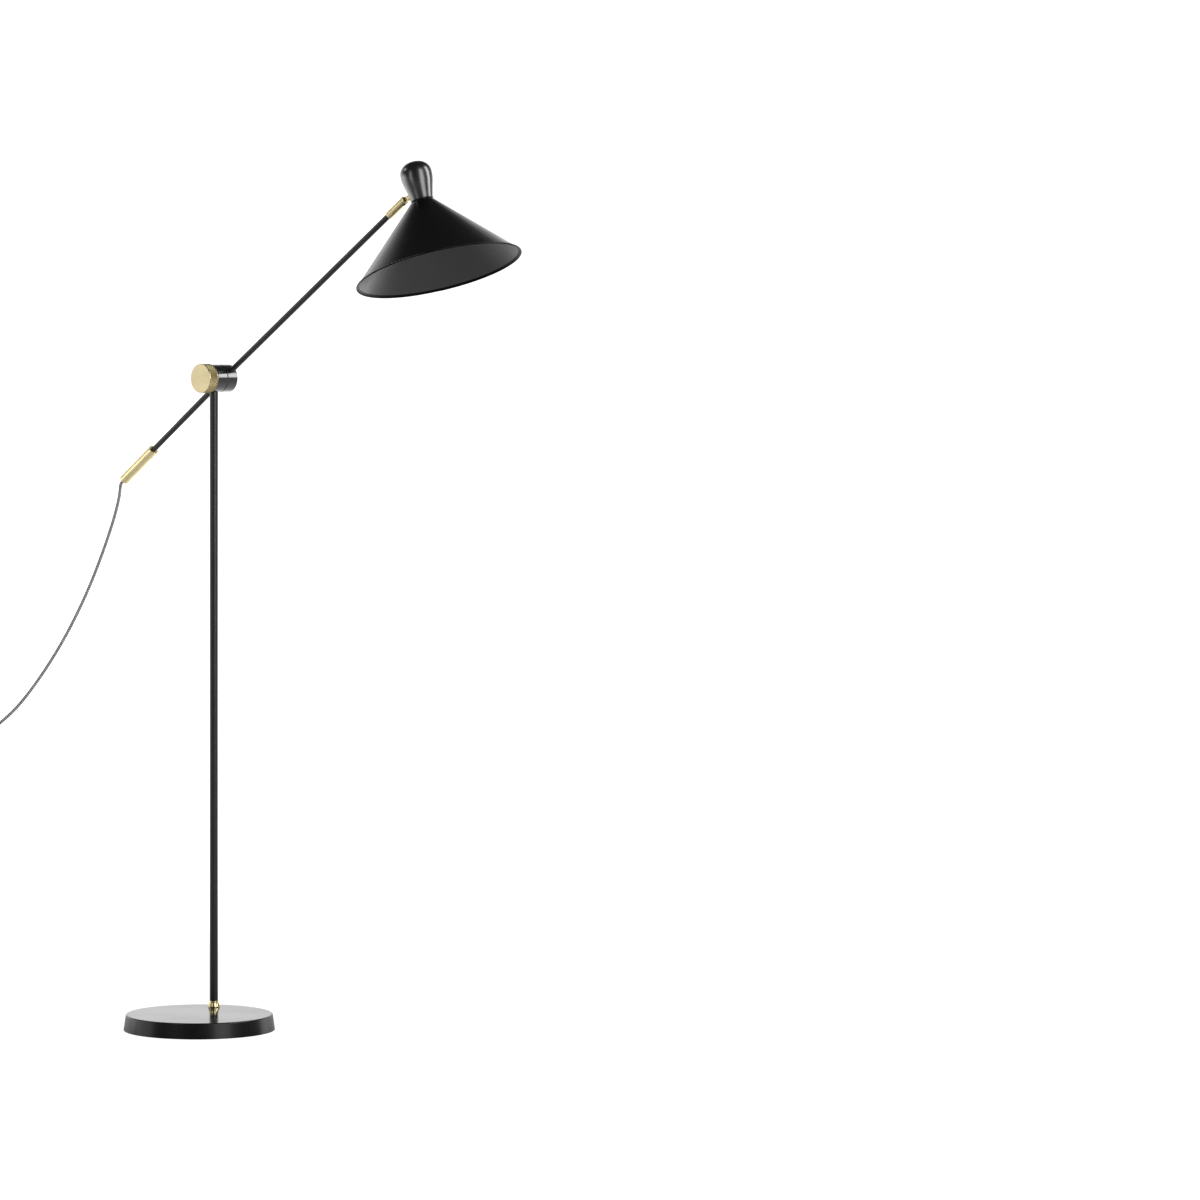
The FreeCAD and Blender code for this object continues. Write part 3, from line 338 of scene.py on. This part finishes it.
def felt():
    """Pressed wool felt: short fibres in two tones."""
    material, tree, shader = start_material("pressed_felt", Roughness=0.95, Specular_IOR_Level=0.1)
    shader.inputs["Sheen Weight"].default_value = 0.4
    place = own_place(tree)
    stretched = add_node(tree, "ShaderNodeMapping", {"Vector": place, "Scale": (1, 3.5, 1)}).outputs[0]
    fibre = noise(tree, stretched, 900.0, 5.0, 0.7)
    tone = remap(tree, fibre, 0, 1, 0.35, 0.65)
    feed(tree, shader, "Base Color", blend_colours(tree, tone, (0.03, 0.03, 0.031), (0.11, 0.11, 0.112)))
    bumped(tree, shader, fibre, 0.0003)
    return material


def cast_iron():
    material, tree, shader = start_material("rough_cast_iron", Metallic=0.6)
    place = own_place(tree)
    pits = noise(tree, place, 380.0, 5.0, 0.65)
    feed(tree, shader, "Base Color", blend_colours(tree, pits, (0.035, 0.033, 0.032), (0.13, 0.12, 0.115)))
    feed(tree, shader, "Roughness", remap(tree, pits, 0.6, 0.85, 0.3, 0.7))
    bumped(tree, shader, pits, 0.0004)
    return material


def plated_steel():
    """Zinc plate with faint crystals and tool marks."""
    material, tree, shader = start_material("zinc_plate", Metallic=1.0)
    place = own_place(tree)
    crystal = add_node(tree, "ShaderNodeTexVoronoi", {"Vector": place, "Scale": 700.0}).outputs["Color"]
    feed(tree, shader, "Base Color", blend_colours(tree, crystal, (0.42, 0.43, 0.45), (0.62, 0.63, 0.64)))
    feed(tree, shader, "Roughness", remap(tree, crystal, 0.28, 0.45, 0.2, 0.8))
    bumped(tree, shader, noise(tree, place, 1800.0, 3.0), 0.00002)
    return material


def opal_glass():
    """White coated bulb glass, a little uneven."""
    material, tree, shader = start_material(
        "opal_bulb_glass", Roughness=0.3, Transmission_Weight=0.35, Subsurface_Weight=0.2
    )
    cloud = noise(tree, own_place(tree), 90.0, 3.0)
    feed(tree, shader, "Base Color", blend_colours(tree, cloud, (0.82, 0.81, 0.78), (0.9, 0.89, 0.86)))
    bumped(tree, shader, cloud, 0.00002)
    return material


def fibre_board():
    material, tree, shader = start_material("dark_fibre", Roughness=0.8, Specular_IOR_Level=0.2)
    fibre = noise(tree, own_place(tree), 1400.0, 4.0, 0.7)
    feed(tree, shader, "Base Color", blend_colours(tree, fibre, (0.012, 0.01, 0.009), (0.035, 0.03, 0.025)))
    bumped(tree, shader, fibre, 0.00005)
    return material


def paint_nodes(material, *names):
    for name in names:
        mesh = NODES[name].data
        mesh.materials.clear()
        mesh.materials.append(material)


def paint_base(side, top):
    paint_nodes(side, "base_cover")
    mesh = NODES["base_cover"].data
    mesh.materials.append(top)
    for face in mesh.polygons:
        face.material_index = int(face.normal.z > FLAT_TOP)


def paint_knob(face_coat, knurl_coat):
    """The knurled band gets a darker, rougher brass than the face."""
    paint_nodes(face_coat, "clamp_knob")
    mesh = NODES["clamp_knob"].data
    mesh.materials.append(knurl_coat)
    low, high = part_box("clamp_knob")
    for face in mesh.polygons:
        out = face.center - (low + high) / 2
        in_band = abs(out.y) < KNURL_HALF_WIDTH and math.hypot(out.x, out.z) > KNURL_INSIDE
        face.material_index = int(in_band)


def paint_shade(outside, inside, axis):
    """The inside paint goes on the faces that look down the head's axis."""
    paint_nodes(outside, "shade")
    mesh = NODES["shade"].data
    mesh.materials.append(inside)
    for face in mesh.polygons:
        face.material_index = int(face.normal.dot(axis) < FACES_MOUTH)


def paint_all():
    tilt = math.radians(HEAD_TILT)
    head_axis = Vector((-math.sin(tilt), 0, math.cos(tilt)))
    rise = math.radians(UPPER_ELEVATION)
    upper_axis = (math.cos(rise), 0, math.sin(rise))
    fall = math.radians(LOWER_ELEVATION)
    lower_axis = (-math.cos(fall), 0, -math.sin(fall))
    clamp_axis = (0, -1, 0)
    paint_base(
        powder_coat("base_side_coat", (0.005, 0.005, 0.0053), 0.26, 0.5, 0.00001),
        powder_coat("base_top_coat", (0.01, 0.01, 0.0105), 0.13, 0.5, 0.000004),
    )
    paint_nodes(powder_coat("pole_coat", (0.014, 0.014, 0.015), 0.32), "lower_pole", "upper_pole")
    paint_nodes(powder_coat("arm_coat", (0.02, 0.02, 0.021), 0.4), "upper_arm", "lower_arm")
    for name in ("front_drum", "rear_hub"):
        gloss = {"Specular_IOR_Level": 0.9, "Coat_Weight": 0.6}
        coat = turned_metal(name + "_coat", (0.012, 0.012, 0.0125), 0.2, name, clamp_axis, **gloss)
        paint_nodes(coat, name)
    paint_knob(
        brass("knob_brass", (0.56, 0.48, 0.29), 0.34, "clamp_knob", clamp_axis),
        brass("knurl_brass", (0.42, 0.35, 0.19), 0.55, "clamp_knob", clamp_axis),
    )
    paint_nodes(brass("ferrule_brass", (0.8, 0.67, 0.38), 0.24, "pole_ferrule", (0, 0, 1)), "pole_ferrule")
    # Painted light: the sleeve's brass is lighter than the fork's and ferrule's, standing in for light from
    # the lower front.
    paint_nodes(brass("sleeve_brass_with_painted_light", (0.94, 0.81, 0.47), 0.38, "end_sleeve", lower_axis), "end_sleeve")
    paint_nodes(brass("ring_brass", (0.9, 0.77, 0.44), 0.36, "arm_ring", upper_axis), "arm_ring")
    fork_brass = brass("fork_brass", (0.8, 0.69, 0.4), 0.33, "swivel_fork", upper_axis)
    paint_nodes(fork_brass, "swivel_fork", "hinge_pin", "knuckle")
    paint_nodes(lacquer("cap_lacquer", (0.005, 0.005, 0.0053), 0.26), "finial_cap", "neck_collar")
    shade_coat = powder_coat("shade_coat", (0.005, 0.005, 0.0052), 0.2, 0.4, 0.00001)
    paint_shade(shade_coat, shade_inside(head_axis), head_axis)
    steel = plated_steel()
    paint_nodes(
        steel,
        "base_washer",
        "base_nut",
        "pole_foot",
        "pole_coupler",
        "pole_grub_screw",
        "clamp_stud",
        "arm_grub_screws",
        "swivel_nipple",
        "knuckle_nut",
        "holder_bracket",
        "holder_nut",
        "button_spring",
    )
    paint_nodes(cast_iron(), "base_weight")
    paint_nodes(felt(), "felt_pad")
    paint_nodes(fibre_board(), "friction_disc", "knob_washer")
    paint_nodes(
        moulded("soft_rubber", (0.012, 0.012, 0.012), 0.6, 2600.0, 0.00003, 0.3),
        "cord_grommet",
        "coil_tie",
        "switch_reliefs",
        "plug_relief",
        "arm_cable",
    )
    plastic = moulded("grained_plastic", (0.014, 0.014, 0.015), 0.38)
    paint_nodes(plastic, "switch_lower_case", "switch_upper_case", "plug_body")
    paint_nodes(moulded("button_plastic", (0.02, 0.02, 0.021), 0.3, 5000.0, 0.00001), "switch_button")
    paint_nodes(moulded("phenolic", (0.01, 0.009, 0.009), 0.25, 900.0, 0.000006), "lamp_holder", "shade_ring")
    nickel = turned_metal("bright_nickel", (0.66, 0.63, 0.58), 0.16, "bulb_base", head_axis, Metallic=1.0)
    paint_nodes(nickel, "bulb_base", "contact_shell", "plug_pins")
    paint_nodes(opal_glass(), "bulb_globe")


# ---- cords ----------------------------------------------------------------------------------
def smooth_line(points, steps):
    """The line of a smooth spline that has the route's points as its control points."""
    curve = bpy.data.curves.new("route", "CURVE")
    curve.dimensions = "3D"
    spline = curve.splines.new("NURBS")
    spline.points.add(len(points) - 1)
    for control, point in zip(spline.points, points):
        control.co = (*point, 1)
    spline.order_u = 3
    spline.use_endpoint_u = True
    spline.resolution_u = steps
    holder = bpy.data.objects.new("route", curve)
    mesh = bpy.data.meshes.new_from_object(holder)
    line = [vertex.co.copy() for vertex in mesh.vertices]
    bpy.data.meshes.remove(mesh)
    bpy.data.objects.remove(holder)
    bpy.data.curves.remove(curve)
    return line


def cord_mesh(name, line, material):
    """A closed round tube along the line, with a UV map in girths."""
    sides = 20
    radius = CORD_DIAMETER / 2
    girth = math.pi * CORD_DIAMETER
    vertices = []
    reached = []
    direction = (line[1] - line[0]).normalized()
    across = direction.orthogonal().normalized()
    length = 0.0
    for index, point in enumerate(line):
        before = line[max(index - 1, 0)]
        after = line[min(index + 1, len(line) - 1)]
        turned_to = (after - before).normalized()
        across = direction.rotation_difference(turned_to) @ across
        direction = turned_to
        other = direction.cross(across)
        length += (point - before).length
        reached.append(length / girth)
        for side in range(sides):
            angle = 2 * math.pi * side / sides
            vertices.append(point + (across * math.cos(angle) + other * math.sin(angle)) * radius)
    faces = []
    places = []
    for ring in range(len(line) - 1):
        for side in range(sides):
            following = (side + 1) % sides
            low, high = ring * sides, (ring + 1) * sides
            faces.append((low + side, low + following, high + following, high + side))
            start, end = side / sides, (side + 1) / sides
            places += [
                (reached[ring], start),
                (reached[ring], end),
                (reached[ring + 1], end),
                (reached[ring + 1], start),
            ]
    last = (len(line) - 1) * sides
    faces.append(tuple(range(sides))[::-1])
    faces.append(tuple(last + side for side in range(sides)))
    places += [(0.0, side / sides) for side in range(sides)][::-1]
    places += [(reached[-1], side / sides) for side in range(sides)]
    mesh = bpy.data.meshes.new(name)
    mesh.from_pydata(vertices, [], faces)
    layer = mesh.uv_layers.new(name="girths")
    for corner, place in zip(layer.data, places):
        corner.uv = place
    mesh.shade_smooth()
    mesh.materials.append(material)
    piece = bpy.data.objects.new(name, mesh)
    bpy.context.scene.collection.objects.link(piece)
    return piece


def eased(value, start, end):
    """How far the value is from start to end, from 0 to 1, with soft ends."""
    share = min(max((value - start) / (end - start), 0.0), 1.0)
    return share * share * (3 - 2 * share)


def coil_points():
    """Three turns inwards on the floor, then turns outwards on top. Each shift takes a sixth of a turn."""
    points = []
    shift = 1 / 6
    inwards = ((1 - shift, MIDDLE_TURN - OUTER_TURN), (2 - shift, INNER_TURN - MIDDLE_TURN))
    outwards = ((3.5, MIDDLE_TURN - INNER_TURN), (4.5, OUTER_TURN - MIDDLE_TURN))
    climb_from = 3 - 2 * shift
    for step in range(COIL_FIRST_STEP, COIL_LAST_STEP + 1):
        turns = step / COIL_STEPS_PER_TURN
        radius = OUTER_TURN
        for start, change in inwards + outwards:
            radius += change * eased(turns, start, start + shift)
        height = LOW_LAYER + (HIGH_LAYER - LOW_LAYER) * eased(turns, climb_from, climb_from + shift)
        angle = math.radians(COIL_START_ANGLE - 360 * turns)
        points.append(COIL_CENTRE + Vector((radius * math.cos(angle), radius * math.sin(angle), height)))
    return points


def add_spring():
    """The foot switch's spring: a copy of the CAD one, fixed to the stand in its place."""
    spring = bpy.data.objects.new("switch_spring", NODES["button_spring"].data.copy())
    bpy.context.scene.collection.objects.link(spring)
    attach(spring, "stand")
    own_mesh(spring)
    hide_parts("button_spring")
    return spring


def add_cords():
    material = braid()
    drop_line = smooth_line(DROP_POINTS, 10)
    drop = cord_mesh("cord_drop_braid", drop_line, material)
    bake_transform(drop)
    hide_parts("cord_drop")
    switch = ["switch_lower_case", "switch_upper_case", "switch_button", "switch_reliefs"]
    [NODES[name] for name in switch] + [add_spring()]
    supply_line = smooth_line(LEAD_POINTS + coil_points() + TAIL_POINTS, 4)
    supply = cord_mesh("cord_supply_braid", supply_line, material)
    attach(supply, "stand")
    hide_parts("cord_lead", "cord_coil", "cord_tail")


# ---- studio: bearings in degrees, positive to the camera's right, and lengths in metres ------
BACKLIGHT_BEARING = -172
BACKLIGHT_REACH = 0.8
BACKLIGHT_HEIGHT = -0.6
FLOOR_WHITE = 0.97


def from_pole(bearing, distance, height):
    """A place round the pole. Its bearing is measured from the camera's, positive to the right."""
    low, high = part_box("lower_pole")
    pole = (low + high) / 2
    angle = math.radians(VIEW_AZIMUTH + bearing)
    return Vector((pole.x + distance * math.sin(angle), pole.y - distance * math.cos(angle), height))


def add_camera():
    data = bpy.data.cameras.new("camera")
    data.lens = LENS
    data.sensor_width = 36.0
    data.clip_end = 200.0
    camera = bpy.data.objects.new("camera", data)
    turn = Matrix.Rotation(math.radians(VIEW_AZIMUTH - AIM_RIGHT), 4, "Z")
    pitch = Matrix.Rotation(math.radians(90 - AIM_DOWN), 4, "X")
    roll = Matrix.Rotation(math.radians(CAMERA_ROLL), 4, "Z")
    place = Matrix.Translation(from_pole(0, CAMERA_DISTANCE, CAMERA_HEIGHT))
    camera.matrix_world = place @ turn @ pitch @ roll
    bpy.context.scene.collection.objects.link(camera)
    bpy.context.scene.camera = camera


def softbox(name, bearing, distance, bottom, top, width, radiance):
    """An upright even light that faces the lamp and isn't seen itself."""
    data = bpy.data.lights.new(name, "AREA")
    data.shape = "RECTANGLE"
    data.size = width
    data.size_y = top - bottom
    data.energy = radiance * math.pi * data.size * data.size_y
    light = bpy.data.objects.new(name, data)
    light.location = from_pole(bearing, distance, (bottom + top) / 2)
    middle = from_pole(0, 0, light.location.z)
    light.rotation_euler = (middle - light.location).to_track_quat("-Z", "Y").to_euler()
    light.visible_camera = False
    bpy.context.scene.collection.objects.link(light)


def add_floor():
    """White everywhere to the camera. As a light it is bright behind the lamp and dim in front."""
    half = 40.0
    corners = [(-half, -half, 0), (half, -half, 0), (half, half, 0), (-half, half, 0)]
    mesh = bpy.data.meshes.new("floor")
    mesh.from_pydata(corners, [], [(0, 1, 2, 3)])
    floor = bpy.data.objects.new("floor", mesh)
    bpy.context.scene.collection.objects.link(floor)
    material, tree, shader = start_material("pale_floor", Roughness=0.9, Specular_IOR_Level=0.0)
    shader.inputs["Base Color"].default_value = (0.3, 0.3, 0.3, 1)
    shader.inputs["Emission Color"].default_value = (1, 1, 1, 1)
    place = add_node(tree, "ShaderNodeTexCoord").outputs["Object"]
    reach = dot_product(tree, place, from_pole(180, 1.0, 0) - from_pole(0, 0, 0))
    glow = remap(tree, reach, 0.3, 1.6, -0.3, 2.6)
    ray = add_node(tree, "ShaderNodeLightPath").outputs["Is Camera Ray"]
    seen = calculate(tree, "MULTIPLY", ray, FLOOR_WHITE)
    feed(tree, shader, "Emission Strength", calculate(tree, "MAXIMUM", glow, seen))
    mesh.materials.append(material)


def add_world():
    """White everywhere to the camera. As a light it is brightest low down behind the lamp."""
    world = bpy.data.worlds.new("studio")
    world.use_nodes = True
    bpy.context.scene.world = world
    tree = world.node_tree
    background = tree.nodes["Background"]
    ray = add_node(tree, "ShaderNodeLightPath").outputs["Is Camera Ray"]
    direction = add_node(tree, "ShaderNodeTexCoord").outputs["Generated"]
    behind = from_pole(BACKLIGHT_BEARING, BACKLIGHT_REACH, BACKLIGHT_HEIGHT)
    facing = dot_product(tree, direction, behind - from_pole(0, 0, 0))
    glow = remap(tree, facing, 0.05, 1.25, 0.12, 0.72)
    strength = calculate(tree, "MAXIMUM", glow, ray)
    tree.links.new(strength, background.inputs["Strength"])
    background.inputs["Color"].default_value = (1, 1, 1, 1)


def add_studio():
    add_floor()
    add_world()
    softbox("right_side_light", 85, 3.0, 1.5, 4.0, 1.0, 6.5)
    softbox("right_low_light", 118, 3.0, 0.05, 0.6, 1.2, 2.0)
    softbox("right_front_light", 35, 3.0, 0.5, 3.6, 1.3, 4.0)
    softbox("left_front_light", -38, 3.4, 1.0, 2.8, 0.9, 2.2)
    softbox("left_side_panel", -96, 3.0, 0.1, 1.6, 2.4, 1.1)
    softbox("left_low_light", -128, 3.0, 0.05, 0.4, 1.4, 1.5)
    softbox("left_high_light", -100, 3.0, 2.7, 3.7, 0.9, 4.5)
    bpy.context.scene.view_settings.view_transform = "Standard"


paint_all()
add_cords()
add_studio()
add_camera()
